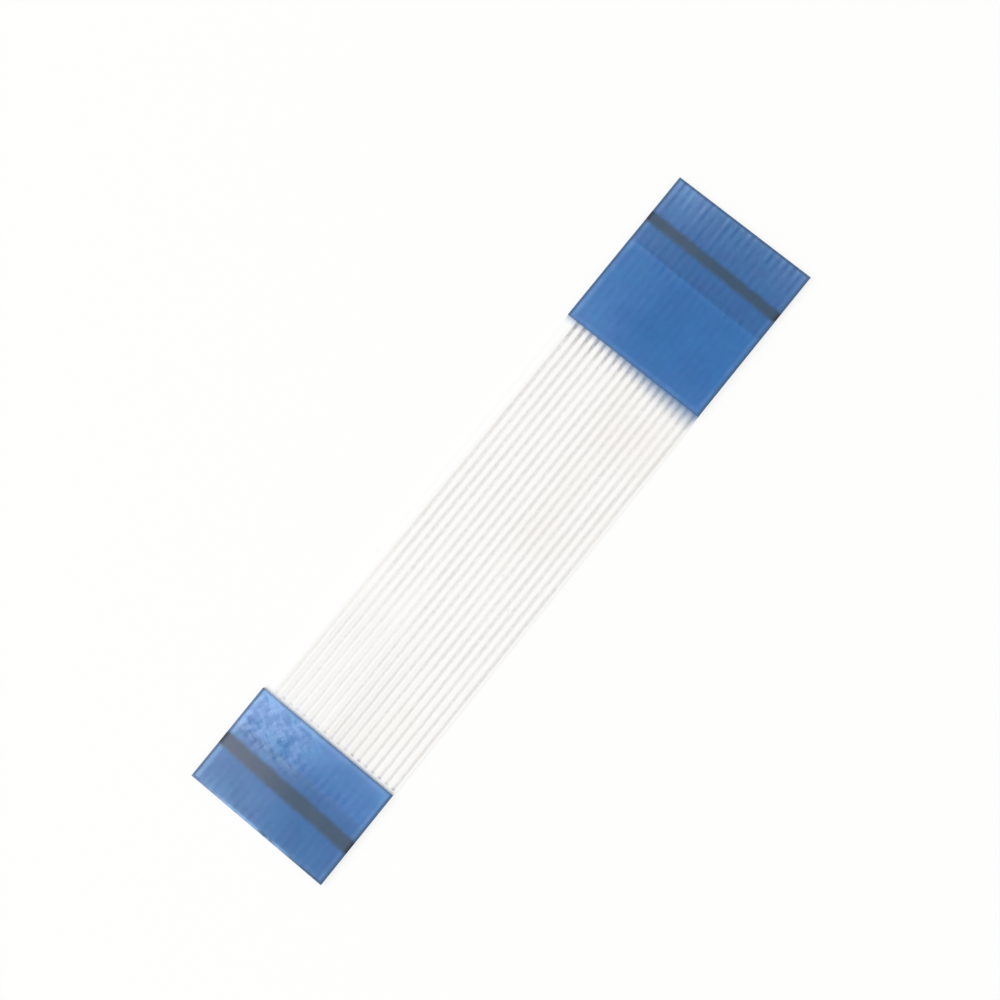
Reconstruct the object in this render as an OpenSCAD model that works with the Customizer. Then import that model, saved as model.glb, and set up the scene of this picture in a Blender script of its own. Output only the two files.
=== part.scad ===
// Flat flex cable: a row of flat conductors laminated between two insulation
// films, with a backing stiffener glued over the bare conductors at each end.
// X runs along the cable with the long stiffened end at +X, Y runs across it,
// and Z points up. The contacts face down and the stiffeners face up.
// The origin is under the middle of the cable, on the surface it lies on.

/* [Cable] */
// Number of conductors side by side
conductor_count = 18; // [4:1:50]
// Distance from the centre line of one conductor to the next
pitch = 0.5; // [0.5:0.05:1.25]
// Distance from a side edge to the centre line of the outermost conductor
edge_margin = 0.5; // [0.3:0.05:1.5]
// Length from tip to tip
cable_length = 44; // [36:0.5:300]

/* [Conductors] */
// Width of one flat conductor
conductor_w = 0.3; // [0.2:0.01:0.35]
// Thickness of one flat conductor
conductor_t = 0.035; // [0.02:0.005:0.1]

/* [Insulation films] */
// Thickness of one film over a conductor, with its adhesive
film_t = 0.0425; // [0.02:0.0025:0.1]
// Depth to which a film sinks between two conductors
groove_depth = 0.015; // [0.0025:0.0025:0.0175]
// Width of the flat crest that a film keeps over a conductor
crest_w = 0.14; // [0.1:0.01:0.15]
// Width of the curved shoulder from the crest down into the groove
shoulder_w = 0.17; // [0.05:0.01:0.17]

/* [Stiffeners] */
// Thickness of a stiffener, with its adhesive
stiffener_t = 0.265; // [0.1:0.005:0.4]
// Length over which a stiffener climbs onto the end of the film
joggle_length = 0.35; // [0.1:0.05:0.4]

/* [Long end] */
// Length of the stiffener
long_stiffener_length = 10.3; // [7:0.1:16]
// Length of the bare conductors, from the tip to the films
long_bare_length = 4.7; // [4:0.1:6.5]
// Distance from the tip to the middle of the insertion line
long_line_setback = 2.95; // [1:0.05:3.2]
// Width of the insertion line
long_line_w = 0.6; // [0.2:0.05:0.8]

/* [Short end] */
// Length of the stiffener
short_stiffener_length = 6.3; // [5:0.1:16]
// Length of the bare conductors, from the tip to the films
short_bare_length = 4.1; // [3.6:0.1:4.7]
// Distance from the tip to the middle of the insertion line
short_line_setback = 2.7; // [1:0.05:2.75]
// Width of the insertion line
short_line_w = 0.8; // [0.2:0.05:0.9]

/* [Insertion lines] */
// Thickness of the printed ink
ink_t = 0.01; // [0.005:0.005:0.03]

/* [Hidden] */
cable_w = (conductor_count - 1) * pitch + 2 * edge_margin;
tip_x = cable_length / 2;

// Heights above the surface that the cable lies on
conductor_z = film_t;
parting_z = conductor_z + conductor_t / 2;
conductor_top_z = conductor_z + conductor_t;
film_top_z = conductor_top_z + film_t;

// Number of flats that make up the curve of one shoulder
SHOULDER_STEPS = 6;

// The stretch that the films cover
film_start_x = -tip_x + short_bare_length;
film_length = cable_length - short_bare_length - long_bare_length;

FILM_COLOUR = "ivory";
CONDUCTOR_COLOUR = "silver";
STIFFENER_COLOUR = "steelblue";
INK_COLOUR = "darkslategray";

function conductor_y(i) = (i - (conductor_count + 1) / 2) * pitch;
function conductor_name(i) = str("conductor_", i < 10 ? "0" : "", i);

// The shoulder of a film beside a conductor, as an S curve from the crest (t = 0)
// to the groove (t = 1): distance from the conductor's centre line, and height
// above the parting plane
function shoulder(t) = [
    crest_w / 2 + shoulder_w * t,
    conductor_t / 2 + film_t - groove_depth * (1 - cos(180 * t)) / 2
];

// Outer face of a film over one conductor, from left to right
function crest_and_shoulders() =
    let (right = [for (k = [0 : SHOULDER_STEPS]) shoulder(k / SHOULDER_STEPS)])
    let (left = [for (k = [SHOULDER_STEPS : -1 : 0]) [-right[k].x, right[k].y]])
    concat(left, right);

// Outer face of a film over its whole width, with flat margins at the side edges
function outer_face() =
    let (over_conductor = crest_and_shoulders(), margin = shoulder(1).y)
    concat(
        [[-cable_w / 2, margin]],
        [for (i = [1 : conductor_count], p = over_conductor) [conductor_y(i) + p.x, p.y]],
        [[cable_w / 2, margin]]
    );

// Inner face of a film, from right to left: the parting plane, with a seat that
// takes one half of each conductor
function inner_face() = concat(
    [[cable_w / 2, 0]],
    [
        for (i = [conductor_count : -1 : 1], p = [
            [conductor_w / 2, 0],
            [conductor_w / 2, conductor_t / 2],
            [-conductor_w / 2, conductor_t / 2],
            [-conductor_w / 2, 0]
        ]) [conductor_y(i) + p.x, p.y]
    ],
    [[-cable_w / 2, 0]]
);

// One film, above the parting plane (side = 1) or below it (side = -1)
module film(side) {
    section = concat(outer_face(), inner_face());
    color(FILM_COLOUR)
        translate([film_start_x, 0, parting_z])
            rotate([90, 0, 90])
                linear_extrude(height = film_length)
                    polygon([for (p = section) [p.x, side * p.y]]);
}

module upper_film() film(side = 1);

module lower_film() film(side = -1);

module conductor(i) {
    color(CONDUCTOR_COLOUR)
        translate([-tip_x, conductor_y(i) - conductor_w / 2, conductor_z])
            cube([cable_length, conductor_w, conductor_t]);
}

// Both ends are drawn with the tip at x = 0 and the cable running to -X
module at_long_end() translate([tip_x, 0, 0]) children();

module at_short_end() translate([-tip_x, 0, 0]) mirror([1, 0, 0]) children();

// A profile in X and Z, extruded over the full width of the cable
module across_cable() {
    rotate([90, 0, 0])
        linear_extrude(height = cable_w, center = true)
            children();
}

// The stiffener lies on the bare conductors at the tip and steps up onto the film
module stiffener(length, bare_length) {
    underside = [
        [-length, film_top_z],
        [-bare_length, film_top_z],
        [-bare_length + joggle_length, conductor_top_z],
        [0, conductor_top_z]
    ];
    back = [for (k = [len(underside) - 1 : -1 : 0]) underside[k] + [0, stiffener_t]];
    color(STIFFENER_COLOUR)
        across_cable()
            polygon(concat(underside, back));
}

module stiffener_long_end() at_long_end() stiffener(long_stiffener_length, long_bare_length);

module stiffener_short_end() at_short_end() stiffener(short_stiffener_length, short_bare_length);

// The line printed on the back of a stiffener, up to which the end is pushed in
module insertion_line(setback, width) {
    color(INK_COLOUR)
        across_cable()
            translate([-setback - width / 2, conductor_top_z + stiffener_t])
                square([width, ink_t]);
}

module insertion_line_long_end() at_long_end() insertion_line(long_line_setback, long_line_w);

module insertion_line_short_end() at_short_end() insertion_line(short_line_setback, short_line_w);

upper_film();
lower_film();
for (i = [1 : conductor_count])
    conductor(i);
stiffener_long_end();
stiffener_short_end();
insertion_line_long_end();
insertion_line_short_end();
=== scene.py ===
"""Dresses a flat flex cable: white films, tinned conductors, blue stiffeners and insertion lines.

The cable lies along X with its contacts down and its stiffeners up. Sizes are in millimetres
up to the point where a mesh or a material takes them.
"""

import math
from types import SimpleNamespace

import bmesh
import bpy
import numpy as np
from mathutils import Matrix, Vector


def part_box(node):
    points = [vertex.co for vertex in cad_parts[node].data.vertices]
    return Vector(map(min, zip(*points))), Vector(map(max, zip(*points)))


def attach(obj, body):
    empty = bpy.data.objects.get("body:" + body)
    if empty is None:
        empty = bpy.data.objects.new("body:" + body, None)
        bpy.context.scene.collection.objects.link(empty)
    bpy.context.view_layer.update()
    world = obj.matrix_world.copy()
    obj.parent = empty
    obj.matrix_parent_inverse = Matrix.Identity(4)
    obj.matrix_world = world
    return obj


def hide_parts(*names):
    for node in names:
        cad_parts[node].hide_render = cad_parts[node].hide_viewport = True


bl_info = {
    "name": "Flat Flex Cable",
    "version": (1, 0, 0),
    "blender": (4, 5, 0),
    "location": "3D View > Sidebar > Flex Cable",
    "description": "Finishes a flat flex cable and sets it in a small studio",
    "category": "Object",
}

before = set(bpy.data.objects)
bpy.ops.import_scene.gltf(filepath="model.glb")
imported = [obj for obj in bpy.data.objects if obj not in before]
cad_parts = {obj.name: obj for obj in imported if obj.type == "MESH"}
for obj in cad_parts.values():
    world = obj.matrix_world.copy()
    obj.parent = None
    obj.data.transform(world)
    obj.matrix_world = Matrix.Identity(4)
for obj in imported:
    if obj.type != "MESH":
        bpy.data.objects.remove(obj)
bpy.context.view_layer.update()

MM = 0.001


# --- Measures taken from the packed model ---

def box_mm(node):
    """Lowest and highest corner of a packed node, in millimetres."""
    low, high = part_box(node)
    return low / MM, high / MM


def measure_cable():
    """The cable's own sizes, in millimetres."""
    conductors = sorted(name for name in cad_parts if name.startswith("conductor_"))
    first_low, first_high = box_mm(conductors[0])
    second_low, _ = box_mm(conductors[1])
    film_low, film_high = box_mm("upper_film")
    return SimpleNamespace(
        conductors=conductors,
        count=len(conductors),
        pitch=second_low.y - first_low.y,
        first_y=(first_low.y + first_high.y) / 2,
        conductor_w=first_high.y - first_low.y,
        conductor_t=first_high.z - first_low.z,
        conductor_z=(first_low.z + first_high.z) / 2,
        conductor_top=first_high.z,
        tips=(first_low.x, first_high.x),
        half_width=film_high.y,
        film_ends=(film_low.x, film_high.x),
        film_top=film_high.z,
    )


def measure_end(name, cable):
    """One stiffened end. Setbacks are measured from its tip."""
    stiffener_low, stiffener_high = box_mm(f"stiffener_{name}_end")
    line_low, line_high = box_mm(f"insertion_line_{name}_end")
    side = 1 if name == "long" else -1
    tip = cable.tips[1] if side > 0 else cable.tips[0]
    film_end = cable.film_ends[1] if side > 0 else cable.film_ends[0]
    thickness = stiffener_high.z - cable.film_top
    return SimpleNamespace(
        name=name,
        side=side,
        tip=tip,
        length=stiffener_high.x - stiffener_low.x,
        bare=abs(tip - film_end),
        thickness=thickness,
        back=cable.conductor_top + thickness,
        line=abs(tip - (line_low.x + line_high.x) / 2),
        line_w=line_high.x - line_low.x,
        ink_t=line_high.z - line_low.z,
    )


CABLE = measure_cable()
LONG_END = measure_end("long", CABLE)
SHORT_END = measure_end("short", CABLE)
ENDS = (LONG_END, SHORT_END)


# --- Settings in the sidebar ---

def length_setting(name, description, default):
    """A length in millimetres."""
    return bpy.props.FloatProperty(
        name=name, description=description, default=default, min=0.0, precision=4
    )


def share_setting(name, description, default):
    """A share between nothing and all."""
    return bpy.props.FloatProperty(
        name=name, description=description, default=default, min=0.0, max=1.0, subtype="FACTOR"
    )


def place_setting(name, description, default):
    """A place in millimetres."""
    return bpy.props.FloatVectorProperty(name=name, description=description, default=default, size=3)


def colour_setting(name, description, default):
    """A colour, as linear red, green and blue."""
    return bpy.props.FloatVectorProperty(
        name=name, description=description, default=default, size=3, min=0.0, max=1.0, subtype="COLOR"
    )


class FilmLook(bpy.types.PropertyGroup):
    """Finish of the two insulation films"""

    white: colour_setting("White", "Colour of the film over a conductor", (0.978, 0.970, 0.952))
    margin: colour_setting(
        "Margin", "Colour of the film beside the outermost conductor", (0.985, 0.985, 0.978)
    )
    # Grey lines: partly painted shade of the raised conductors' shaded sides, partly the film's greyer look
    # over the gaps
    shaded_groove: colour_setting("Groove", "Colour of the film between two conductors", (0.765, 0.757, 0.735))
    cream: colour_setting("Cream", "Colour of the yellowed patches", (0.955, 0.905, 0.83))
    shade: colour_setting(
        "Shade", "Colour between the conductors in front of the long stiffener", (0.235, 0.235, 0.265)
    )
    blue_shade: colour_setting(
        "Blue shade", "Colour that the long stiffener casts on the film beside it", (0.115, 0.238, 0.415)
    )
    tick: colour_setting(
        "Tick", "Colour of the short ticks in front of the short stiffener", (0.28, 0.25, 0.23)
    )
    speck: colour_setting("Speck", "Colour of the specks", (0.34, 0.30, 0.27))
    roughness: share_setting("Roughness", "Roughness of the film", 0.5)


class ConductorLook(bpy.types.PropertyGroup):
    """Finish and edges of the conductors"""

    tin: colour_setting("Tin", "Colour of the tinned surface", (0.70, 0.69, 0.66))
    edge_radius: length_setting("Edge radius", "Radius of the rolled edges", 0.015)
    roughness: share_setting("Roughness", "Roughness of the tinned surface", 0.34)


class StiffenerLook(bpy.types.PropertyGroup):
    """Finish and relief of the stiffeners"""

    over_film: colour_setting("Over the film", "Blue where white film lies below", (0.0193, 0.1365, 0.389))
    over_contacts: colour_setting(
        "Over the contacts", "Blue where the bare conductors lie below", (0.0278, 0.1202, 0.324)
    )
    rim: colour_setting("Rim", "Colour of the cut edges", (0.045, 0.100, 0.190))
    teal: colour_setting("Teal tint", "Tint of the greener clouds in the blue", (0.87, 1.0, 0.985))
    violet: colour_setting("Violet tint", "Tint of the redder clouds in the blue", (1.0, 0.93, 0.985))
    # Light blue that is partly painted reflection of the key light, stronger at the left, and partly haze;
    # it also colours the light strips, the wrinkles and the painted highlight at the tip
    sheen_and_haze: colour_setting("Haze", "Light blue that a haze adds at its strongest", (0.390, 0.495, 0.640))
    roughness: share_setting("Roughness", "Roughness of the blue face", 0.38)
    joggle: length_setting("Joggle", "Length over which the stiffener climbs onto the film", 0.35)
    edge_radius: length_setting("Edge radius", "Radius of the rolled upper edges", 0.05)
    ridge_height: length_setting("Ridge height", "Height to which a conductor shows through", 0.004)
    bump_height: length_setting(
        "Bump height", "Height of the bump where a conductor leaves the film", 0.004
    )


class InkLook(bpy.types.PropertyGroup):
    """Finish of the printed insertion lines"""

    ink: colour_setting("Ink", "Colour of the ink", (0.033, 0.072, 0.128))
    # Lighter ink: partly painted sheen of the key light at the left, partly thinner ink
    thin_ink_and_sheen: colour_setting("Thin ink", "Colour of the ink where it lies thinly", (0.125, 0.150, 0.210))
    end_ink: colour_setting(
        "Ink at the ends", "Colour of the ink where it runs over a side edge", (0.012, 0.018, 0.028)
    )
    roughness: share_setting("Roughness", "Roughness of the ink", 0.5)


class StageLook(bpy.types.PropertyGroup):
    """Floor, light and camera"""

    white: colour_setting("White", "Colour of the floor and the room", (0.991, 0.991, 0.984))
    key_share: share_setting("Key light", "Share of the light that comes from the key lamp", 0.42)
    fill_share: share_setting("Fill light", "Share of the light that comes from the fill lamp", 0.10)
    room_share: share_setting("Room light", "Share of the light that comes from the room", 0.46)
    floor_share: share_setting("Floor shadow", "How strongly the floor shows a shadow", 0.20)
    lens: bpy.props.FloatProperty(
        name="Lens", description="Focal length of the camera, in millimetres", default=50.67, min=1.0
    )
    turn: bpy.props.FloatProperty(
        name="Turn",
        description="Direction on the floor that points up in the picture, from +X towards +Y",
        default=math.radians(39.06),
        subtype="ANGLE",
    )
    camera_place: place_setting("Camera", "Place of the camera", (-3.317, -6.079, 79.712))
    camera_aim: place_setting("Aim", "Point that the camera looks at", (0.94, 1.067, 0.0))


# --- Building nodes ---

class Wiring:
    """Adds nodes to one tree and hands back their output sockets."""

    def __init__(self, tree):
        self.tree = tree

    def plug(self, socket, value):
        """Links a socket, or sets its value."""
        if isinstance(value, bpy.types.NodeSocket):
            self.tree.links.new(value, socket)
        else:
            socket.default_value = value

    def node(self, kind, inputs=(), output=0, **settings):
        """One node; inputs maps its sockets' names or numbers to sockets or values."""
        node = self.tree.nodes.new(kind)
        for name, value in settings.items():
            setattr(node, name, value)
        for key, value in dict(inputs).items():
            self.plug(node.inputs[key], value)
        return node.outputs[output]

    def math(self, operation, *values):
        """One Math node."""
        return self.node("ShaderNodeMath", enumerate(values), operation=operation)

    def apart(self, first, second):
        """How far apart two values are."""
        return self.math("ABSOLUTE", self.math("SUBTRACT", first, second))

    def product(self, first, *others):
        """The product of several values."""
        result = first
        for other in others:
            result = self.math("MULTIPLY", result, other)
        return result

    def rise(self, value, start, end, low=0.0, high=1.0):
        """Smooth step from low at start to high at end."""
        inputs = {"Value": value, "From Min": start, "From Max": end, "To Min": low, "To Max": high}
        return self.node("ShaderNodeMapRange", inputs, interpolation_type="SMOOTHSTEP")

    def fall(self, value, start, end, high=1.0):
        """Smooth step from high at start down to 0 at end."""
        return self.rise(value, start, end, high, 0.0)

    def ease(self, value, start, end, power):
        """Rises from 0 at start to 1 at end, along a power curve."""
        inputs = {"Value": value, "From Min": start, "From Max": end}
        return self.math("POWER", self.node("ShaderNodeMapRange", inputs), power)

    def band(self, value, start, end, soft):
        """1 between start and end and 0 outside, with soft ends."""
        up = self.rise(value, start - soft / 2, start + soft / 2)
        down = self.fall(value, end - soft / 2, end + soft / 2)
        return self.product(up, down)

    def profile(self, value, stops, reach):
        """Runs through stops of place and level, with places from 0 to reach and levels from 0 to 1."""
        node = self.tree.nodes.new("ShaderNodeValToRGB")
        elements = node.color_ramp.elements
        elements.remove(elements[1])
        for number, (place, level) in enumerate(stops):
            element = elements[0] if number == 0 else elements.new(place / reach)
            element.position = place / reach
            element.color = (level, level, level, 1.0)
        self.plug(node.inputs[0], self.math("DIVIDE", value, reach))
        return node.outputs[0]

    def axes(self, vector):
        """The three parts of a vector."""
        node = self.tree.nodes.new("ShaderNodeSeparateXYZ")
        self.plug(node.inputs[0], vector)
        return node.outputs[0], node.outputs[1], node.outputs[2]

    def wave(self, y, crest, pitch):
        """A cosine across the cable, 1 at the crest and -1 half a pitch from it."""
        turns = self.product(self.math("SUBTRACT", y, crest), 2 * math.pi / pitch)
        return self.math("COSINE", turns)

    def mix(self, factor, first, second):
        """A mix of two numbers."""
        return self.node("ShaderNodeMix", {0: factor, 2: first, 3: second})

    def blend(self, factor, first, second):
        """A mix of two colours."""
        node = self.tree.nodes.new("ShaderNodeMix")
        node.data_type = "RGBA"
        self.plug(node.inputs[0], factor)
        self.plug(node.inputs[6], rgba(first))
        self.plug(node.inputs[7], rgba(second))
        return node.outputs[2]

    def added(self, colour, extra, factor):
        """A colour with some of another added to it."""
        inputs = {0: tuple(extra), 1: factor, 2: colour}
        return self.node("ShaderNodeVectorMath", inputs, operation="MULTIPLY_ADD")

    def tinted(self, colour, first, second, factor):
        """A colour multiplied by a mix of two tints."""
        tint = self.blend(factor, first, second)
        return self.node("ShaderNodeVectorMath", {0: colour, 1: tint}, operation="MULTIPLY")

    def scaled(self, colour, factor):
        """A colour made brighter or darker by a factor."""
        return self.node("ShaderNodeVectorMath", {0: colour, "Scale": factor}, operation="SCALE")


def rgba(colour):
    """A colour setting as the four values that a socket takes; a socket stays as it is."""
    return colour if isinstance(colour, bpy.types.NodeSocket) else (*colour, 1.0)


class Finish(Wiring):
    """A new material with one Principled shader, and its object coordinates in millimetres.

    Sockets of the shader are given by name, with underscores for the spaces.
    """

    def __init__(self, name, **sockets):
        self.material = bpy.data.materials.new(name)
        self.material.use_nodes = True
        super().__init__(self.material.node_tree)
        self.shader = self.tree.nodes["Principled BSDF"]
        for key, value in sockets.items():
            self.shader.inputs[key.replace("_", " ")].default_value = value
        place = self.node("ShaderNodeTexCoord", output=3)
        self.place = self.node("ShaderNodeMapping", {"Vector": place, "Scale": (1 / MM,) * 3})
        self.x, self.y, self.z = self.axes(self.place)

    def set(self, socket, value):
        """Links or sets one input of the shader."""
        self.plug(self.shader.inputs[socket], value)

    def noise(self, cells, turn=0.0, detail=2.0, roughness=0.5, distortion=0.0):
        """Noise around a half, with so many cells to a millimetre along each axis, turned about Z."""
        place = self.place
        if turn:
            place = self.node("ShaderNodeMapping", {"Vector": place, "Rotation": (0.0, 0.0, turn)})
        inputs = {
            "Vector": self.node("ShaderNodeMapping", {"Vector": place, "Scale": cells}),
            "Scale": 1.0,
            "Detail": detail,
            "Roughness": roughness,
            "Distortion": distortion,
        }
        return self.node("ShaderNodeTexNoise", inputs)

    def mottle(self, cells, spread, low=0.0, high=1.0, **kind):
        """Noise that runs from low to high within a spread on both sides of its mean."""
        return self.rise(self.noise(cells, **kind), 0.5 - spread, 0.5 + spread, low, high)

    def relief(self, height):
        """Bumps the surface by a height in millimetres."""
        inputs = {"Height": height, "Distance": MM, "Strength": 1.0}
        self.set("Normal", self.node("ShaderNodeBump", inputs))


def dress(node, material):
    """Gives a packed node its material."""
    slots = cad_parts[node].material_slots
    for slot in slots:
        slot.material = material
    if not slots:
        raise RuntimeError(f"{node} has no material slot")


# --- Films ---

# Refractive index of the films, the stiffeners and the ink
PLASTIC_IOR = 1.5
# Places in one pitch, from the middle of a conductor towards the next: of the grey line of partly painted
# shade on the conductor's shaded side, and of the wedge of shade in front of the long stiffener
LINE_PLACE = 0.42
WEDGE_PLACE = 0.47
# Places along the cable between which the lines turn narrow and double, and the strengths of the first
# line, and of the second one at the right and at the left
DOUBLE_FROM = (-6.5, -10.5)
FIRST_LINE = 1.2
SECOND_LINE = (0.10, 0.60)
# Places along and across the cable between which the lines turn faint, and how faint
FAINT_ALONG = (-2.5, -8.5)
FAINT_ACROSS = (-0.3, 0.9)
FAINT_SHARE = 0.42
# Length of the wedges of shade, and their strength at the left and at the right
WEDGE_LENGTH = 2.1
WEDGE_LEVELS = (0.70, 0.52)
# The long stiffener's own shade on the film: its reach and strength, at the left and at the right
CAST_REACH = (0.45, 1.30)
CAST_LEVELS = (0.48, 0.88)
# The ticks in front of the short stiffener: distance, width, softness, and strength at the left and at
# the right
TICK_SETBACK = 0.27
TICK_W = 0.13
TICK_SOFT = 0.10
TICK_LEVELS = (0.22, 0.42)
# Strengths of the cream patches, the strip of painted light behind the ticks, and the specks
CREAM_LEVEL = 0.5
LIT_STRIP_LEVEL = 0.9
SPECK_LEVEL = 0.14
# Height of the fine ripple in the film
RIPPLE = 0.0025


class FilmPattern:
    """Where a point lies on the films, as node sockets."""

    def __init__(self, finish):
        pitch, first = CABLE.pitch, CABLE.first_y
        # 1 on the grey lines, -1 half a pitch beside them
        self.swing = finish.wave(finish.y, first + pitch * LINE_PLACE, pitch)
        # 1 over the row of conductors, and on the upper film
        self.rows = finish.band(finish.y, first - pitch * 0.8, -first - pitch * 0.2, pitch * 0.2)
        self.above = finish.rise(finish.z, CABLE.film_top * 0.4, CABLE.film_top * 0.7)
        self.uneven = finish.mottle((3.2, 7.0, 1.0), 0.25, 0.5, 1.3, detail=3.0, roughness=0.7)


def grey_lines(finish, pattern):
    """How dark the grey lines are: partly painted shade beside each raised conductor, partly the film's
    greyer look over the gaps. Near the short end they are narrow, with a second line between them.
    """
    x, y = finish.x, finish.y
    broad = finish.rise(pattern.swing, -0.55, 1.0)
    narrow = finish.product(finish.rise(pattern.swing, 0.0, 1.0), FIRST_LINE)
    second = finish.rise(finish.product(pattern.swing, -1.0), 0.0, 1.0)
    second = finish.product(second, finish.rise(y, -3.0, 1.5, *SECOND_LINE))
    double = finish.math("MAXIMUM", narrow, second)
    line = finish.mix(finish.rise(x, *DOUBLE_FROM), broad, double)
    slow = finish.mottle((0.16, 1.1, 1.0), 0.2, 0.75, 1.15, detail=1.0)
    faint = finish.product(finish.rise(x, *FAINT_ALONG), finish.rise(y, *FAINT_ACROSS), FAINT_SHARE)
    return finish.product(line, pattern.rows, pattern.uneven, slow, finish.math("SUBTRACT", 1.0, faint))


def white_film(finish, pattern, look):
    """White with cream patches on the right, a plain side margin and grey lines of partly painted shade."""
    y = finish.y
    patches = finish.rise(finish.noise((0.16, 0.3, 1.0)), 0.45, 0.75)
    cream = finish.product(patches, finish.rise(y, 2.0, -2.5), CREAM_LEVEL)
    colour = finish.blend(cream, look.white, look.cream)
    last = -CABLE.first_y
    beside = finish.rise(y, last - CABLE.pitch * 0.1, last + CABLE.pitch * 0.3)
    colour = finish.blend(beside, colour, look.margin)
    return finish.blend(grey_lines(finish, pattern), colour, look.shaded_groove)


def shaded_at_long_end(finish, pattern, colour, look):
    """Wedges of shade between the conductors in front of the long stiffener, and its own shade."""
    x, y = finish.x, finish.y
    edge = LONG_END.tip - LONG_END.length
    near = finish.rise(x, edge - WEDGE_LENGTH, edge - 0.15)
    # A wedge grows wider towards the stiffener
    start = finish.math("SUBTRACT", 0.5, finish.product(near, 1.2))
    across = finish.wave(y, CABLE.first_y + CABLE.pitch * WEDGE_PLACE, CABLE.pitch)
    wedge = finish.rise(across, start, 1.2)
    level = finish.product(finish.rise(y, 3.5, -3.5, *WEDGE_LEVELS), pattern.uneven)
    wedges = finish.product(wedge, near, near, pattern.above, pattern.rows, level)
    colour = finish.blend(wedges, colour, look.shade)
    reach = finish.rise(y, 3.5, -4.5, *CAST_REACH)
    cast = finish.ease(x, finish.math("SUBTRACT", edge, reach), edge, 1.5)
    cast = finish.product(cast, pattern.above, finish.rise(y, 3.5, -2.0, *CAST_LEVELS))
    return finish.blend(cast, colour, look.blue_shade)


def ticked_at_short_end(finish, pattern, colour, look):
    """A row of short ticks in front of the short stiffener, and behind them a strip of painted light that
    whitens the shadow which the stiffener's edge casts on the film.
    """
    x = finish.x
    edge = SHORT_END.tip + SHORT_END.length
    start, end = edge + TICK_SETBACK - TICK_W / 2, edge + TICK_SETBACK + TICK_W / 2
    # Painted light: the film beside the short stiffener is lifted to the margin's white over its cast
    # shadow
    strip = finish.product(finish.band(x, edge - 0.2, start, TICK_SOFT), pattern.above, LIT_STRIP_LEVEL)
    colour = finish.blend(strip, colour, look.margin)
    ticks = finish.product(
        finish.band(x, start, end, TICK_SOFT),
        finish.rise(pattern.swing, -0.4, 0.6),
        pattern.rows,
        pattern.above,
        finish.mottle((1.0, 2.3, 1.0), 0.15, 0.35, 1.0, detail=1.0),
        finish.rise(finish.y, 3.5, -2.0, *TICK_LEVELS),
    )
    return finish.blend(ticks, colour, look.tick)


def film_material():
    """White polyester, grey along its grooves, with cream patches and a few specks."""
    look = bpy.context.scene.film_look
    finish = Finish("film_white", Roughness=look.roughness, IOR=PLASTIC_IOR, Specular_IOR_Level=0.35)
    pattern = FilmPattern(finish)
    colour = white_film(finish, pattern, look)
    colour = shaded_at_long_end(finish, pattern, colour, look)
    colour = ticked_at_short_end(finish, pattern, colour, look)
    speck = finish.rise(finish.noise((1.5, 4.5, 3.0), detail=0.0), 0.81, 0.87)
    colour = finish.blend(finish.product(speck, SPECK_LEVEL), colour, look.speck)
    finish.set("Base Color", colour)
    ripple = finish.noise((2.5, 14.0, 14.0), detail=3.0, roughness=0.6)
    finish.relief(finish.product(ripple, RIPPLE))
    return finish.material


class FLEXCABLE_OT_films(bpy.types.Operator):
    """Finish both insulation films"""

    bl_idname = "flexcable.films"
    bl_label = "Films"

    def execute(self, context):
        material = film_material()
        for node in ("upper_film", "lower_film"):
            dress(node, material)
        return {"FINISHED"}


# --- Conductors ---

def new_node_tree(name, inputs):
    """A geometry node tree with a geometry input and output and named number inputs."""
    tree = bpy.data.node_groups.new(name, "GeometryNodeTree")
    tree.interface.new_socket("Geometry", in_out="INPUT", socket_type="NodeSocketGeometry")
    for title, value in inputs.items():
        kind = "NodeSocketInt" if isinstance(value, int) else "NodeSocketFloat"
        tree.interface.new_socket(title, in_out="INPUT", socket_type=kind)
    tree.interface.new_socket("Geometry", in_out="OUTPUT", socket_type="NodeSocketGeometry")
    entry = tree.nodes.new("NodeGroupInput")
    return Wiring(tree), {socket.name: socket for socket in entry.outputs if socket.name}


def finished_tree(wiring, geometry, material):
    """The tree, ended in Realize Instances and Set Material."""
    real = wiring.node("GeometryNodeRealizeInstances", {0: geometry})
    painted = wiring.node("GeometryNodeSetMaterial", {"Geometry": real, "Material": material})
    wiring.plug(wiring.tree.nodes.new("NodeGroupOutput").inputs[0], painted)
    return wiring.tree


def apply_tree(piece, tree, inputs):
    """Runs a tree on a piece and keeps the result as its plain mesh."""
    modifier = piece.modifiers.new(tree.name, "NODES")
    modifier.node_group = tree
    for item in tree.interface.items_tree:
        if item.in_out == "INPUT" and item.name in inputs:
            modifier[item.identifier] = inputs[item.name]
    depsgraph = bpy.context.evaluated_depsgraph_get()
    mesh = bpy.data.meshes.new_from_object(piece.evaluated_get(depsgraph))
    piece.modifiers.clear()
    piece.data = mesh


def new_piece(name, mesh=None):
    """A new object at the origin."""
    piece = bpy.data.objects.new(name, mesh or bpy.data.meshes.new(name))
    bpy.context.scene.collection.objects.link(piece)
    return piece


# Height of the rolling marks, number of steps in a rolled edge, and the angle from which an edge is sharp
ROLLING_MARKS = 0.0012
ROLLED_STEPS = 4
ROLLED_SHARP = math.radians(40)


def conductor_material():
    """Tinned copper with fine rolling marks along the conductor."""
    look = bpy.context.scene.conductor_look
    finish = Finish("conductor_tinned", Metallic=1.0)
    marks = finish.noise((0.9, 70.0, 70.0), detail=3.0, roughness=0.65)
    cloud = finish.noise((1.5, 3.0, 3.0))
    shade = finish.rise(cloud, 0.3, 0.7, 0.88, 1.06)
    lined = finish.rise(marks, 0.3, 0.7, 0.92, 1.05)
    finish.set("Base Color", finish.scaled(tuple(look.tin), finish.product(shade, lined)))
    finish.set("Roughness", finish.rise(cloud, 0.3, 0.7, look.roughness - 0.07, look.roughness + 0.10))
    finish.relief(finish.product(marks, ROLLING_MARKS))
    return finish.material


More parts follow.
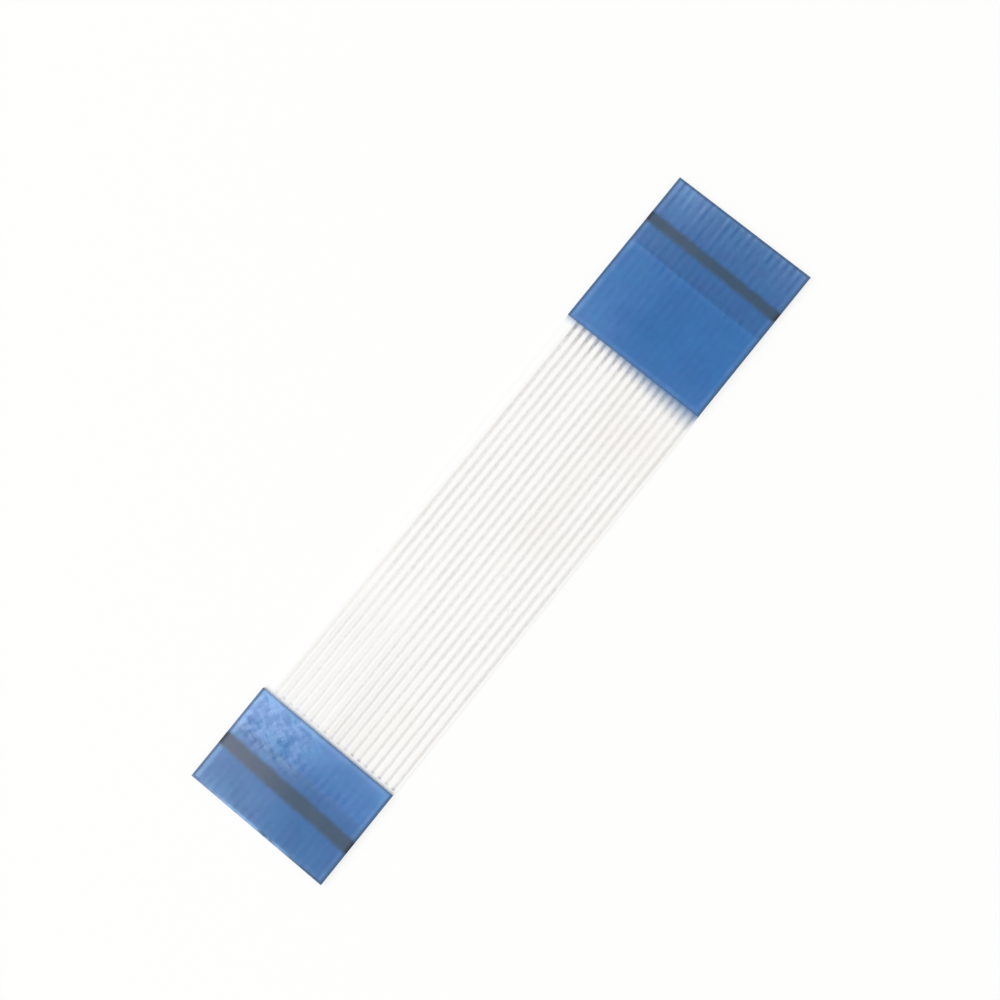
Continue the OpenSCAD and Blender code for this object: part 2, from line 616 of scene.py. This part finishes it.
def conductor_tree(inputs, material):
    """Flat strips with rolled edges, side by side at one pitch."""
    wiring, given = new_node_tree("rolled_conductors", inputs)
    start = wiring.node("ShaderNodeCombineXYZ", {0: given["Start"]})
    end = wiring.node("ShaderNodeCombineXYZ", {0: given["End"]})
    line = wiring.node("GeometryNodeCurvePrimitiveLine", {"Start": start, "End": end})
    size = {"Width": given["Width"], "Height": given["Thickness"]}
    section = wiring.node("GeometryNodeCurvePrimitiveQuadrilateral", size)
    rolled = {"Curve": section, "Count": ROLLED_STEPS, "Radius": given["Edge Radius"]}
    section = wiring.node("GeometryNodeFilletCurve", rolled, mode="POLY")
    swept = {"Curve": line, "Profile Curve": section, "Fill Caps": True}
    strip = wiring.node("GeometryNodeCurveToMesh", swept)
    first = wiring.node("ShaderNodeCombineXYZ", {1: given["First Place"], 2: given["Height"]})
    step = wiring.node("ShaderNodeCombineXYZ", {1: given["Pitch"]})
    places = {"Count": given["Count"], "Start Location": first, "Offset": step}
    row = wiring.node("GeometryNodeMeshLine", places)
    strips = wiring.node("GeometryNodeInstanceOnPoints", {"Points": row, "Instance": strip})
    return finished_tree(wiring, strips, material)


class FLEXCABLE_OT_conductors(bpy.types.Operator):
    """Make the flat conductors with their rolled edges"""

    bl_idname = "flexcable.conductors"
    bl_label = "Conductors"

    def execute(self, context):
        look = context.scene.conductor_look
        inputs = {
            "Count": CABLE.count,
            "Pitch": CABLE.pitch * MM,
            "First Place": CABLE.first_y * MM,
            "Height": CABLE.conductor_z * MM,
            "Start": CABLE.tips[0] * MM,
            "End": CABLE.tips[1] * MM,
            "Width": CABLE.conductor_w * MM,
            "Thickness": CABLE.conductor_t * MM,
            "Edge Radius": look.edge_radius * MM,
        }
        piece = new_piece("flat_conductors")
        apply_tree(piece, conductor_tree(inputs, conductor_material()), inputs)
        piece.data.set_sharp_from_angle(angle=ROLLED_SHARP)
        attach(piece, "root")
        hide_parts(*CABLE.conductors)
        return {"FINISHED"}


# --- Stiffeners ---

# Grid lines across one pitch, in the rounding of an edge and over the joggle, and the distances between
# the even lines along a stiffener and from the last of them to the inner edge
LINES_PER_PITCH = 10
EDGE_STEPS = 4
JOGGLE_LINES = 15
LINE_STEP = 0.25
LAST_LINE = 0.15
# How far the close lines of the joggle reach past it, and how near to them an even line may lie
JOGGLE_MARGIN = 0.1
# Setbacks between which a ridge fades, and the share of its height that stays
RIDGE_FADE = (0.6, 2.6)
RIDGE_REST = 0.12
# Distances from the middle of a conductor, in pitches, between which a ridge falls off
RIDGE_SIDES = (0.12, 0.42)
# A face counts as facing up where its normal rises by more than this
FACING_UP = 0.3
# The angle from which an edge is sharp
SLAB_SHARP = math.radians(50)


def edge_lines(radius):
    """Distances from an edge at which the rounding of its arris has its grid lines."""
    angles = [math.pi / 2 * step / EDGE_STEPS for step in range(EDGE_STEPS + 1)]
    return [radius * (1 - math.cos(angle)) for angle in angles]


def lines_along(length, radius, bare, joggle):
    """Setbacks of the grid lines from tip to inner edge, closer where the surface bends."""
    rolled = edge_lines(radius)
    even = np.arange(LINE_STEP, length - LAST_LINE, LINE_STEP)
    climb = np.linspace(bare - joggle - JOGGLE_MARGIN, bare + JOGGLE_MARGIN, JOGGLE_LINES)
    even = [t for t in even if not climb[0] - JOGGLE_MARGIN < t < climb[-1] + JOGGLE_MARGIN]
    return np.array(sorted([*rolled, *even, *climb, *(length - d for d in rolled)]))


def lines_across(radius):
    """Places of the grid lines from side to side, even over the conductors."""
    rolled = edge_lines(radius)
    outermost = -CABLE.first_y + CABLE.pitch / 2
    even = np.linspace(-outermost, outermost, CABLE.count * LINES_PER_PITCH + 1)
    sides = [CABLE.half_width - d for d in rolled]
    return np.array(sorted([*even, *sides, *(-y for y in sides)]))


def rounding(distance, radius):
    """How far the rounded arris lies below the face, at a distance from the edge."""
    inward = np.clip(1 - distance / radius, 0, 1)
    return radius * (1 - np.sqrt(1 - inward ** 2))


def climb_of(setback, end, joggle):
    """Height of a stiffener's underside at a setback: down on the conductors, up on the film."""
    t = np.clip((setback - (end.bare - joggle)) / joggle, 0, 1)
    return CABLE.conductor_top + (CABLE.film_top - CABLE.conductor_top) * t


def closed_slab(name, x, y, top, bottom):
    """A closed mesh between two heights over one grid of places."""
    rows, columns = x.shape
    points = [np.stack([x, y, z], axis=-1).reshape(-1, 3) for z in (top, bottom)]
    points = np.concatenate(points) * MM
    offset = rows * columns

    def corner(i, j, side):
        return side * offset + i * columns + j

    faces = []
    for i in range(rows - 1):
        for j in range(columns - 1):
            loop = [(i, j), (i + 1, j), (i + 1, j + 1), (i, j + 1)]
            faces.append([corner(*p, 0) for p in loop])
            faces.append([corner(*p, 1) for p in reversed(loop)])
    rim = [(i, 0) for i in range(rows)] + [(rows - 1, j) for j in range(1, columns)]
    rim += [(i, columns - 1) for i in range(rows - 2, -1, -1)] + [(0, j) for j in range(columns - 2, 0, -1)]
    for a, b in zip(rim, rim[1:] + rim[:1]):
        faces.append([corner(*a, 0), corner(*a, 1), corner(*b, 1), corner(*b, 0)])
    mesh = bpy.data.meshes.new(name)
    mesh.from_pydata(points.tolist(), [], faces)
    shell = bmesh.new()
    shell.from_mesh(mesh)
    bmesh.ops.recalc_face_normals(shell, faces=shell.faces)
    shell.to_mesh(mesh)
    shell.free()
    return mesh


def relief_tree(inputs, material):
    """Raises the upward faces along each conductor at the tip, and in a bump at the joggle."""
    wiring, given = new_node_tree("conductors_showing_through", inputs)
    x, y, _ = wiring.axes(wiring.node("GeometryNodeInputPosition"))
    upward = wiring.axes(wiring.node("GeometryNodeInputNormal"))[2]
    facing = wiring.math("GREATER_THAN", upward, FACING_UP)
    # Place across the cable in pitches, whether a conductor lies there, and how far it is from one
    place = wiring.math("DIVIDE", wiring.math("SUBTRACT", y, given["First Place"]), given["Pitch"])
    off_middle = wiring.apart(place, given["Middle"])
    inside = wiring.math("LESS_THAN", off_middle, wiring.math("ADD", given["Middle"], 0.5))
    apart = wiring.apart(place, wiring.math("ROUND", place))
    ridge = wiring.fall(apart, *RIDGE_SIDES)
    setback = wiring.apart(x, given["Tip"])
    fade = wiring.rise(setback, given["Fade Start"], given["Fade End"], 1.0, RIDGE_REST)
    joggle_start = wiring.math("SUBTRACT", given["Bare Length"], given["Joggle"])
    bare = wiring.fall(setback, joggle_start, given["Bare Length"])
    ridges = wiring.product(ridge, fade, bare, given["Ridge Height"])
    along = wiring.apart(setback, given["Bare Length"])
    crest = wiring.product(given["Joggle"], 0.1)
    bump = wiring.fall(along, crest, given["Joggle"])
    bumps = wiring.product(ridge, bump, given["Bump Height"])
    height = wiring.product(wiring.math("MAXIMUM", ridges, bumps), inside)
    lift = wiring.node("ShaderNodeCombineXYZ", {2: height})
    moved = {"Geometry": given["Geometry"], "Selection": facing, "Offset": lift}
    raised = wiring.node("GeometryNodeSetPosition", moved)
    return finished_tree(wiring, raised, material)


def show_conductors(piece, end, material):
    """Lets the conductors show in the upper face of a piece, and gives it its material."""
    look = bpy.context.scene.stiffener_look
    inputs = {
        "Pitch": CABLE.pitch * MM,
        "First Place": CABLE.first_y * MM,
        "Middle": (CABLE.count - 1) / 2,
        "Tip": end.tip * MM,
        "Bare Length": end.bare * MM,
        "Joggle": look.joggle * MM,
        "Fade Start": RIDGE_FADE[0] * MM,
        "Fade End": RIDGE_FADE[1] * MM,
        "Ridge Height": look.ridge_height * MM,
        "Bump Height": look.bump_height * MM,
    }
    apply_tree(piece, relief_tree(inputs, material), inputs)
    piece.data.polygons.foreach_set("use_smooth", [True] * len(piece.data.polygons))
    piece.data.set_sharp_from_angle(angle=SLAB_SHARP)


# How far the streaks lie off the middle of a gap where film lies below
LEAN = 0.12
# How far the printed lines and the ends of the film lie out of square, for each millimetre across
SKEW = 0.022


class StiffenerPattern:
    """Where a point lies on one stiffener, as node sockets."""

    def __init__(self, finish, end, joggle):
        self.setback = finish.apart(finish.x, end.tip)
        # Setback along lines that lie as the printed line does
        self.skewed = finish.math("MULTIPLY_ADD", finish.y, SKEW * end.side, self.setback)
        self.over_film = finish.rise(self.skewed, end.bare - joggle * 0.5, end.bare + joggle * 0.1)
        # Distances from the side and tip edges, and from the inner edge
        self.side = finish.math("SUBTRACT", CABLE.half_width, finish.math("ABSOLUTE", finish.y))
        self.cut = finish.math("MINIMUM", self.side, self.setback)
        self.inner = finish.math("SUBTRACT", end.length, self.setback)
        # 1 between two conductors, -1 over one, and 0 at the sides; over the film it leans to the right
        leaned = finish.math("MULTIPLY_ADD", self.over_film, LEAN, finish.y)
        gaps = finish.wave(leaned, CABLE.first_y + CABLE.pitch / 2, CABLE.pitch)
        rows = finish.band(finish.math("ABSOLUTE", finish.y), -1.0, -CABLE.first_y + CABLE.pitch * 0.3, 0.1)
        self.gaps = finish.product(gaps, rows)


# The light blue along a stiffener, partly painted reflection of the key light, which makes it stronger at
# the left, and partly haze in the film: as places from the tip and strengths, at the right and at the left,
# and the places across between which it changes from one to the other
SHEEN_AND_HAZE = {
    "long": SimpleNamespace(
        across=(0.0, 4.2),
        right=((0.0, 0.13), (0.8, 0.085), (2.2, 0.035), (3.5, 0.012), (4.6, 0.018), (4.75, 0.055),
               (5.1, 0.028), (8.3, 0.024), (10.0, 0.05)),
        left=((0.0, 0.26), (0.6, 0.23), (1.1, 0.17), (2.2, 0.11), (3.4, 0.08), (4.6, 0.065), (4.75, 0.14),
              (5.1, 0.10), (8.3, 0.095), (10.0, 0.14)),
    ),
    "short": SimpleNamespace(
        across=(-2.2, 4.5),
        right=((0.0, 0.09), (0.5, 0.065), (2.0, 0.05), (3.4, 0.06), (3.9, 0.08), (4.6, 0.13),
               (5.2, 0.145), (5.9, 0.19), (6.2, 0.24)),
        left=((0.0, 0.32), (0.6, 0.275), (2.0, 0.25), (3.3, 0.32), (4.4, 0.45), (4.9, 0.55), (5.9, 0.53),
              (6.2, 0.62)),
    ),
}
# Strength along a stiffener of the light streaks over the gaps between the conductors
STREAKS = {
    "long": ((0.1, 0.125), (0.5, 0.095), (1.0, 0.050), (1.6, 0.033), (2.3, 0.026), (4.2, 0.018),
             (4.7, 0.025), (5.6, 0.009)),
    "short": ((0.1, 0.045), (0.6, 0.025), (1.2, 0.007), (3.0, 0.007), (3.7, 0.017), (4.6, 0.045),
              (5.6, 0.010)),
}
# Strength of the light strip inside the side edges, on the right and on the left, and along the tip
STRIPS = {"long": (0.08, 0.13, 0.05), "short": (0.09, 0.24, 0.04)}
# Strength of the light strip along the inner edge
INNER_STRIP = 0.08
# How dark the cut edges are: the sides and the tip, and the inner edge
DARK_CUT = 0.76
DARK_INNER = 0.32
# How strong the painted highlight along the tip's arris is, and how much of the dark edge it takes away
TIP_HIGHLIGHT = {"long": 0.0, "short": 0.38}
HIGHLIGHT_OVER_DARK = 2.2
# How strong the wrinkles are where the backing has let go of the film, in colour, which is painted light
# and shade of the wrinkles, and in relief, and the directions of the two sets that cross
WRINKLES = {"long": 0.0, "short": 1.0}
WRINKLE_LIGHT_AND_SHADE = 0.30
WRINKLE_HEIGHT = 0.012
WRINKLE_TURNS = (math.radians(28), math.radians(-65))
# Heights of the slow waves and of the fine lines in the face
WAVE_HEIGHT = 0.010
FINE_HEIGHT = 0.0012


def wrinkles_of(finish, pattern, end):
    """Soft crossing wrinkles on the left of the film: the pattern, and how strong it is."""
    along, across = (finish.noise((1.3, 3.4, 1.0), turn, distortion=0.3) for turn in WRINKLE_TURNS)
    crossing = finish.product(finish.math("ADD", along, across), 0.5)
    where = finish.product(
        finish.rise(finish.y, -0.8, 2.0), finish.rise(pattern.setback, 3.0, 4.0), WRINKLES[end.name]
    )
    return finish.rise(crossing, 0.38, 0.62, -0.5, 0.5), where


def sheen_and_haze_level(finish, pattern, end, cloud):
    """How strong the painted sheen and the haze are, with the streaks over the gaps and the wrinkles."""
    sheen_and_haze = SHEEN_AND_HAZE[end.name]
    right = finish.profile(pattern.skewed, sheen_and_haze.right, end.length)
    left = finish.profile(pattern.skewed, sheen_and_haze.left, end.length)
    level = finish.mix(finish.rise(finish.y, *sheen_and_haze.across), right, left)
    level = finish.product(level, finish.rise(cloud, 0.25, 0.75, 0.8, 1.2))
    # The streaks over the gaps, uneven along them and stronger at the left
    patchiness = finish.mottle((1.5, 2.0, 1.0), 0.16, 0.0, 1.25, detail=3.0)
    patchiness = finish.product(patchiness, finish.rise(finish.y, -0.5, 2.5, 0.75, 1.35))
    along = finish.profile(pattern.setback, STREAKS[end.name], end.length)
    level = finish.math("ADD", level, finish.product(pattern.gaps, along, patchiness))
    wrinkles, where = wrinkles_of(finish, pattern, end)
    # Painted light and shade of the wrinkles
    return finish.math("MULTIPLY_ADD", finish.product(wrinkles, where), WRINKLE_LIGHT_AND_SHADE, level)


def blue_face(finish, pattern, end):
    """Colour of a stiffener's face, before its edges."""
    look = bpy.context.scene.stiffener_look
    colour = finish.blend(pattern.over_film, look.over_contacts, look.over_film)
    cloud = finish.noise((0.45, 0.45, 1.0), detail=4.0, roughness=0.6)
    shade = finish.rise(cloud, 0.25, 0.75, 0.95, 1.05)
    grain = finish.mottle((2.6, 2.6, 1.0), 0.3, 0.96, 1.04, detail=3.0, roughness=0.6)
    colour = finish.scaled(colour, finish.product(shade, grain))
    # Adds the painted sheen of the key light together with the haze, the streaks and the wrinkles
    colour = finish.added(colour, look.sheen_and_haze, sheen_and_haze_level(finish, pattern, end, cloud))
    tint = finish.mottle((0.75, 0.75, 1.0), 0.22, detail=3.0, roughness=0.6)
    return finish.tinted(colour, look.teal, look.violet, tint)


# How light the ink is at the right and at the left, partly painted sheen of the key light and partly
# thinner ink, and how much that varies
THIN_INK_AND_SHEEN = {"long": (0.0, 0.22), "short": (0.17, 0.98)}
THIN_SPREAD = 0.3
# How far the ink's edge wanders, and where it starts and ends to fade, from its middle line's half width
INK_WANDER = 0.26
INK_FADE = (-0.15, 0.23)


def inked(finish, pattern, end, blue):
    """A stiffener's colour under its printed line, whose edges are soft and stain the face beside it."""
    look = bpy.context.scene.ink_look
    cloud = finish.noise((1.3, 1.3, 1.0), detail=3.0)
    # Lighter at the left: partly painted sheen of the key light, partly thinner ink
    thin_and_sheen = finish.rise(finish.y, -1.5, 4.2, *THIN_INK_AND_SHEEN[end.name])
    thin_and_sheen = finish.math("MULTIPLY_ADD", finish.math("SUBTRACT", cloud, 0.5), THIN_SPREAD, thin_and_sheen)
    ink = finish.blend(thin_and_sheen, look.ink, look.thin_ink_and_sheen)
    ink = finish.blend(finish.fall(pattern.side, 0.05, 0.30, 0.9), ink, look.end_ink)
    ragged = finish.noise((1.6, 1.6, 1.0), detail=4.0, roughness=0.75)
    apart = finish.apart(pattern.skewed, end.line)
    reach = finish.math("MULTIPLY_ADD", finish.math("SUBTRACT", ragged, 0.5), INK_WANDER, apart)
    fade_start, fade_end = (end.line_w / 2 + step for step in INK_FADE)
    cover = finish.fall(reach, fade_start, fade_end)
    # The underside carries no ink
    upper = finish.rise(finish.z, CABLE.conductor_top + 0.05, CABLE.conductor_top + 0.15)
    return finish.blend(finish.product(cover, upper), blue, ink)


def light_strips(finish, pattern, end):
    """Strength of the light strips inside the edges."""
    right, left, tip = STRIPS[end.name]
    beside = finish.rise(finish.y, 3.6, 4.4, right, left)
    strip = finish.product(finish.fall(pattern.side, 0.26, 0.52), beside)
    strip = finish.math("MAXIMUM", strip, finish.fall(pattern.setback, 0.20, 0.48, tip))
    strip = finish.math("MAXIMUM", strip, finish.fall(pattern.inner, 0.12, 0.40, INNER_STRIP))
    # The lighter strips inside the edges, uneven along them
    strip_patches = finish.mottle((1.4, 1.4, 1.0), 0.2, 0.6, 1.2)
    return finish.product(strip, strip_patches)


def cut_edges(finish, pattern, end, colour, look):
    """A colour with dark cut edges, and a painted highlight in broken stretches along the tip that takes
    the dark away there.
    """
    patchiness = finish.rise(finish.noise((1.0, 1.1, 1.0)), 0.33, 0.53)
    sides = finish.product(finish.rise(finish.y, -3.6, -1.2), finish.rise(finish.y, 4.2, 1.5, 0.4, 1.0))
    at_tip = finish.fall(pattern.setback, 0.10, 0.22)
    # Painted highlight: light caught on the tip's arris, broken into stretches
    tip_highlight = finish.product(at_tip, patchiness, sides, TIP_HIGHLIGHT[end.name])
    cut = finish.fall(pattern.cut, 0.11, 0.21, DARK_CUT)
    inner = finish.fall(pattern.inner, 0.05, 0.14, DARK_INNER)
    dark = finish.math("MAXIMUM", cut, inner)
    dark = finish.math("SUBTRACT", dark, finish.product(tip_highlight, HIGHLIGHT_OVER_DARK))
    return finish.added(finish.blend(dark, colour, look.rim), look.sheen_and_haze, tip_highlight)


def stiffener_material(end):
    """Blue polyester: hazed, streaked over the contacts, dark at its cut edges."""
    look = bpy.context.scene.stiffener_look
    finish = Finish(
        f"stiffener_blue_{end.name}", Roughness=look.roughness, IOR=PLASTIC_IOR, Specular_IOR_Level=0.3
    )
    pattern = StiffenerPattern(finish, end, look.joggle)
    colour = blue_face(finish, pattern, end)
    colour = finish.added(colour, look.sheen_and_haze, light_strips(finish, pattern, end))
    colour = inked(finish, pattern, end, colour)
    finish.set("Base Color", cut_edges(finish, pattern, end, colour, look))
    scuffs = finish.noise((1.2, 6.0, 1.0), detail=4.0, roughness=0.65)
    finish.set("Roughness", finish.rise(scuffs, 0.3, 0.7, look.roughness - 0.06, look.roughness + 0.10))
    waves = finish.noise((0.9, 1.6, 1.0))
    fine = finish.noise((4.0, 16.0, 1.0))
    height = finish.math("MULTIPLY_ADD", waves, WAVE_HEIGHT, finish.product(fine, FINE_HEIGHT))
    wrinkles, where = wrinkles_of(finish, pattern, end)
    wrinkles = finish.product(wrinkles, where)
    finish.relief(finish.math("MULTIPLY_ADD", wrinkles, WRINKLE_HEIGHT, height))
    return finish.material


def make_stiffener(end):
    """One stiffener, with rolled upper edges and a joggle onto the film."""
    look = bpy.context.scene.stiffener_look
    radius = look.edge_radius
    setbacks = lines_along(end.length, radius, end.bare, look.joggle)
    across = lines_across(radius)
    t, y = np.meshgrid(setbacks, across, indexing="ij")
    edge = np.minimum.reduce([t, end.length - t, CABLE.half_width - abs(y)])
    under = climb_of(t, end, look.joggle)
    top = under + end.thickness - rounding(edge, radius)
    name = f"blue_stiffener_{end.name}"
    piece = new_piece(name, closed_slab(name, end.tip - end.side * t, y, top, under))
    show_conductors(piece, end, stiffener_material(end))
    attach(piece, "root")
    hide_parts(f"stiffener_{end.name}_end")


class FLEXCABLE_OT_stiffeners(bpy.types.Operator):
    """Make both stiffeners"""

    bl_idname = "flexcable.stiffeners"
    bl_label = "Stiffeners"

    def execute(self, context):
        for end in ENDS:
            make_stiffener(end)
        return {"FINISHED"}


# --- Insertion lines ---

# Grid lines over the width of a printed line, the share of its half width over which it thins out, and
# the share of its thickness that is left at the edge
INK_LINES = 9
THINNING = 0.2
EDGE_SHARE = 0.25
# Height of the ink's rough surface
INK_ROUGH = 0.002


def ink_material(end):
    """Dark ink that thins out towards its edges."""
    look = bpy.context.scene.ink_look
    finish = Finish(
        f"insertion_ink_{end.name}", Roughness=look.roughness, IOR=PLASTIC_IOR, Specular_IOR_Level=0.3
    )
    pattern = StiffenerPattern(finish, end, bpy.context.scene.stiffener_look.joggle)
    blue = blue_face(finish, pattern, end)
    finish.set("Base Color", inked(finish, pattern, end, blue))
    rough = finish.noise((5.0, 5.0, 1.0))
    finish.relief(finish.product(rough, INK_ROUGH))
    return finish.material


def make_insertion_line(end):
    """The printed line, lying on the back of its stiffener and over its side edges."""
    look = bpy.context.scene.stiffener_look
    half = end.line_w / 2
    setbacks = end.line + np.linspace(-half, half, INK_LINES)
    across = lines_across(look.edge_radius)
    t, y = np.meshgrid(setbacks, across, indexing="ij")
    back = end.back - rounding(CABLE.half_width - abs(y), look.edge_radius)
    feather = np.clip((half - abs(t - end.line)) / (THINNING * half), EDGE_SHARE, 1)
    x = end.tip - end.side * t + SKEW * y
    name = f"printed_line_{end.name}"
    piece = new_piece(name, closed_slab(name, x, y, back + end.ink_t * feather, back))
    show_conductors(piece, end, ink_material(end))
    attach(piece, "root")
    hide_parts(f"insertion_line_{end.name}_end")


class FLEXCABLE_OT_insertion_lines(bpy.types.Operator):
    """Print the insertion line on both stiffeners"""

    bl_idname = "flexcable.insertion_lines"
    bl_label = "Insertion lines"

    def execute(self, context):
        for end in ENDS:
            make_insertion_line(end)
        return {"FINISHED"}


# --- Stage ---

FLOOR_RADIUS = 0.25
# How far the floor lies below the cable
FLOOR_GAP = 0.02 * MM
# Distance of the lamps from the cable
LAMP_DISTANCE = 1.0


def seen_directly(wiring):
    """1 for rays that come from the camera or by way of a reflection or glass."""
    path = wiring.tree.nodes.new("ShaderNodeLightPath")
    total = path.outputs["Is Camera Ray"]
    for kind in ("Is Glossy Ray", "Is Transmission Ray"):
        total = wiring.math("MAXIMUM", total, path.outputs[kind])
    return total


def empty_tree(owner):
    """The node tree of a material or a world, with nothing in it."""
    owner.use_nodes = True
    owner.node_tree.nodes.clear()
    return Wiring(owner.node_tree)


def end_in(wiring, output, other, direct):
    """Ends a tree in two shaders: one for rays that see it directly, and another for all the others."""
    mixed = wiring.node("ShaderNodeMixShader", {0: seen_directly(wiring), 1: other, 2: direct})
    wiring.plug(wiring.tree.nodes.new(output).inputs["Surface"], mixed)


def floor_material(look):
    """White floor: its shadow stays, and the rest of it shows as plain white."""
    material = bpy.data.materials.new("studio_floor")
    wiring = empty_tree(material)
    light = look.key_share + look.fill_share + look.room_share
    share = look.floor_share
    shadowed = wiring.node("ShaderNodeBsdfDiffuse", {"Color": (share, share, share, 1.0)})
    glow = [max(part - share * light, 0.0) for part in look.white]
    lit = wiring.node("ShaderNodeEmission", {"Color": (*glow, 1.0), "Strength": 1.0})
    shown = wiring.node("ShaderNodeAddShader", {0: shadowed, 1: lit})
    plain = wiring.node("ShaderNodeBsdfDiffuse", {"Color": (0.8, 0.8, 0.8, 1.0)})
    end_in(wiring, "ShaderNodeOutputMaterial", plain, shown)
    return material


def make_floor(look):
    """A round floor just below the cable."""
    mesh = bpy.data.meshes.new("floor")
    disc = bmesh.new()
    bmesh.ops.create_circle(disc, cap_ends=True, segments=96, radius=FLOOR_RADIUS)
    disc.to_mesh(mesh)
    disc.free()
    mesh.transform(Matrix.Translation((0, 0, -FLOOR_GAP)))
    floor = new_piece("floor", mesh)
    floor.data.materials.append(floor_material(look))


def make_world(look):
    """Even room light, which shows as plain white."""
    world = bpy.data.worlds.new("studio_room")
    wiring = empty_tree(world)
    shown = wiring.node("ShaderNodeBackground", {"Color": rgba(look.white), "Strength": 1.0})
    room = wiring.node("ShaderNodeBackground", {"Color": (1.0, 1.0, 1.0, 1.0), "Strength": look.room_share})
    end_in(wiring, "ShaderNodeOutputWorld", room, shown)
    bpy.context.scene.world = world


def make_softbox(name, heading, height, width, share):
    """A square lamp that gives a level white surface this share of its brightness."""
    a, e = math.radians(heading), math.radians(height)
    direction = Vector((math.cos(a) * math.cos(e), math.sin(a) * math.cos(e), math.sin(e)))
    lamp = bpy.data.lights.new(name, "AREA")
    lamp.shape = "SQUARE"
    lamp.size = width
    # The outer parts of a wide lamp stand further off and give less
    loss = (1 + width ** 2 / (6 * LAMP_DISTANCE ** 2)) ** 2
    lamp.energy = share * (math.pi * LAMP_DISTANCE) ** 2 / direction.z * loss
    box = bpy.data.objects.new(name, lamp)
    box.location = direction * LAMP_DISTANCE
    box.rotation_mode = "QUATERNION"
    box.rotation_quaternion = (-direction).to_track_quat("-Z", "Y")
    bpy.context.scene.collection.objects.link(box)


def make_camera(look):
    """The camera, high over the cable."""
    data = bpy.data.cameras.new("camera")
    data.lens = look.lens
    data.clip_start, data.clip_end = 0.001, 10.0
    camera = bpy.data.objects.new("camera", data)
    place, aim = Vector(look.camera_place) * MM, Vector(look.camera_aim) * MM
    forward = (aim - place).normalized()
    picture_up = Vector((math.cos(look.turn), math.sin(look.turn), 0.0))
    right = forward.cross(picture_up).normalized()
    axes = Matrix((right, right.cross(forward), -forward)).transposed()
    camera.matrix_world = Matrix.Translation(place) @ axes.to_4x4()
    bpy.context.scene.collection.objects.link(camera)
    bpy.context.scene.camera = camera


class FLEXCABLE_OT_stage(bpy.types.Operator):
    """Set up the camera, the white floor and the soft light"""

    bl_idname = "flexcable.stage"
    bl_label = "Stage"

    def execute(self, context):
        look = context.scene.stage_look
        make_camera(look)
        make_floor(look)
        make_world(look)
        make_softbox("key_light", heading=129.0, height=50.0, width=0.7, share=look.key_share)
        make_softbox("fill_light", heading=-60.0, height=60.0, width=1.0, share=look.fill_share)
        context.scene.view_settings.view_transform = "Standard"
        return {"FINISHED"}


# --- Panel and registration ---

OPERATORS = (
    FLEXCABLE_OT_stage,
    FLEXCABLE_OT_films,
    FLEXCABLE_OT_conductors,
    FLEXCABLE_OT_stiffeners,
    FLEXCABLE_OT_insertion_lines,
)
LOOKS = {
    "film_look": FilmLook,
    "conductor_look": ConductorLook,
    "stiffener_look": StiffenerLook,
    "ink_look": InkLook,
    "stage_look": StageLook,
}


class FLEXCABLE_PT_sidebar(bpy.types.Panel):
    """Settings and steps of the flat flex cable"""

    bl_idname = "FLEXCABLE_PT_sidebar"
    bl_label = "Flat Flex Cable"
    bl_space_type = "VIEW_3D"
    bl_region_type = "UI"
    bl_category = "Flex Cable"

    def draw(self, context):
        layout = self.layout
        for operator in OPERATORS:
            layout.operator(operator.bl_idname)
        for name, group in LOOKS.items():
            section = layout.box()
            section.label(text=group.__doc__)
            for setting in group.__annotations__:
                section.prop(getattr(context.scene, name), setting)


def register():
    for group in LOOKS.values():
        bpy.utils.register_class(group)
    for name, group in LOOKS.items():
        setattr(bpy.types.Scene, name, bpy.props.PointerProperty(type=group))
    for cls in (*OPERATORS, FLEXCABLE_PT_sidebar):
        bpy.utils.register_class(cls)


def unregister():
    for cls in (FLEXCABLE_PT_sidebar, *reversed(OPERATORS)):
        bpy.utils.unregister_class(cls)
    for name in LOOKS:
        delattr(bpy.types.Scene, name)
    for group in reversed(LOOKS.values()):
        bpy.utils.unregister_class(group)


def main():
    register()
    bpy.ops.flexcable.stage()
    bpy.ops.flexcable.films()
    bpy.ops.flexcable.conductors()
    bpy.ops.flexcable.stiffeners()
    bpy.ops.flexcable.insertion_lines()


if __name__ == "__main__":
    main()
